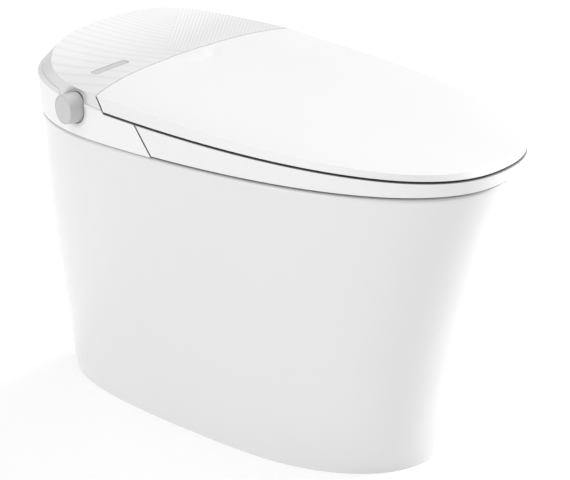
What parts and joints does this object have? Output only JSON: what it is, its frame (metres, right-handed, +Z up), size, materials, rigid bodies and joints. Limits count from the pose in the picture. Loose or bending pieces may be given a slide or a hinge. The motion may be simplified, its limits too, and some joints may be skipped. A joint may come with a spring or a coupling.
{
  "type": "smart toilet with heated seat",
  "caption": "Floor-standing skirted toilet with a heated seat, soft-close lid, side knob, display window, wash nozzle and warm-air dryer under one sloping rounded top.",
  "frame": {"origin": "centre of the waste outlet, at floor level", "axes": "+Z up, -Y is the front where the user sits down, +Y the wall behind, -X the side with the knob"},
  "size_m": [0.4078, 0.6937, 0.4756],
  "materials": {
    "ceramic": "glossy white glaze",
    "white_shell": "smooth white, satin gloss",
    "lid_plate": "silver-white with a fine line relief",
    "seat_white": "smooth white",
    "window_grey": "translucent grey",
    "knob_grey": "silver-grey satin",
    "inner_white": "matte moulding",
    "dark_plastic": "matte black",
    "board_green": "circuit board",
    "seal_rubber": "matte",
    "pad_rubber": "matte",
    "steel": "brushed",
    "brass": "machined",
    "foil": "foil",
    "hose": "braided look"
  },
  "bodies": {
    "frame": {"ceramic_skirt": "ceramic", "ceramic_deck": "ceramic", "ceramic_bowl": "ceramic", "ceramic_sump": "ceramic", "ceramic_trap": "ceramic", "outlet_seal": "seal_rubber", "base_gasket": "seal_rubber", "base_tray": "inner_white", "housing_lower_shell": "white_shell", "housing_rear_cover": "white_shell", "display_window": "window_grey", "display_board": "board_green", "mounting_bolts": "steel", "mounting_plugs": "seal_rubber", "hinge_shaft": "steel", "soft_close_damper_left": "dark_plastic", "soft_close_damper_right": "dark_plastic", "knob_backplate": "inner_white", "knob_encoder": "dark_plastic", "nozzle_cradle": "inner_white", "nozzle_motor": "dark_plastic", "dryer_duct": "inner_white", "dryer_heater": "steel", "dryer_fan_housing": "dark_plastic", "inlet_connector": "brass", "inlet_strainer": "steel", "solenoid_valve": "dark_plastic", "water_heater": "inner_white", "supply_hose": "hose", "wash_hose": "hose", "flush_tank": "inner_white", "flush_pump_body": "dark_plastic", "flush_pump_motor": "steel", "flush_pipe": "inner_white", "control_case": "inner_white", "control_board": "board_green", "cable_gland": "dark_plastic"},
    "seat": {"seat_top_shell": "seat_white", "seat_lower_plate": "seat_white", "seat_heater_foil": "foil", "seat_buffers": "pad_rubber", "seat_sensor": "dark_plastic", "seat_hinge_arm_left": "inner_white", "seat_hinge_arm_right": "inner_white"},
    "lid": {"lid_outer_shell": "lid_plate", "lid_liner": "seat_white", "lid_buffers": "pad_rubber", "lid_hinge_arm_left": "inner_white", "lid_hinge_arm_right": "inner_white"},
    "knob_stem_body": {"knob_stem": "steel"},
    "knob": {"knob_body": "knob_grey", "knob_face_cap": "knob_grey"},
    "nozzle": {"nozzle_wand": "inner_white", "nozzle_tip": "inner_white", "nozzle_shield": "inner_white", "nozzle_rack": "dark_plastic"},
    "pinion": {"nozzle_pinion": "dark_plastic"},
    "flap": {"dryer_flap": "inner_white"},
    "fan_wheel": {"dryer_fan_wheel": "dark_plastic"},
    "pump_wheel": {"flush_pump_wheel": "dark_plastic"}
  },
  "joints": [
    {"name": "seat_hinge", "type": "hinge", "parent": "frame", "child": "seat", "pos_m": [0, 0.1161, 0.44089], "axis": [1, 0, 0], "range_deg": [-95, 0]},
    {"name": "lid_hinge", "type": "hinge", "parent": "seat", "child": "lid", "pos_m": [0, 0.1161, 0.44089], "axis": [-1, 0, 0], "range_deg": [0, 95]},
    {"name": "nozzle_slide", "type": "slide", "parent": "frame", "child": "nozzle", "axis": [0, -0.9397, -0.342], "range_m": [0, 0.07]},
    {"name": "pinion_spin", "type": "hinge", "parent": "frame", "child": "pinion", "pos_m": [0, 0.01661, 0.40727], "axis": [1, 0, 0], "range_deg": [-575, 0]},
    {"name": "knob_press", "type": "slide", "parent": "frame", "child": "knob_stem_body", "axis": [0.9703, -0.2419, 0], "range_m": [0, 0.0012], "stiffness_N_per_m": 1500, "springref_m": -0.001},
    {"name": "knob_turn", "type": "hinge", "parent": "knob_stem_body", "child": "knob", "pos_m": [-0.191, 0.1135, 0.4263], "axis": [-0.9703, 0.2419, 0], "continuous": true},
    {"name": "dryer_flap_hinge", "type": "hinge", "parent": "frame", "child": "flap", "pos_m": [0.037, -0.03275, 0.3835], "axis": [1, 0, 0], "range_deg": [-60, 0]},
    {"name": "dryer_fan_spin", "type": "hinge", "parent": "frame", "child": "fan_wheel", "pos_m": [0.058, 0.184, 0.411], "axis": [0, 0, 1], "continuous": true},
    {"name": "flush_pump_spin", "type": "hinge", "parent": "frame", "child": "pump_wheel", "pos_m": [0.078, 0.14, 0.272], "axis": [0, 0, 1], "continuous": true}
  ],
  "couplings": [
    {"joint": "pinion_spin", "follows": "nozzle_slide", "rad_per_m": -142.86}
  ]
}
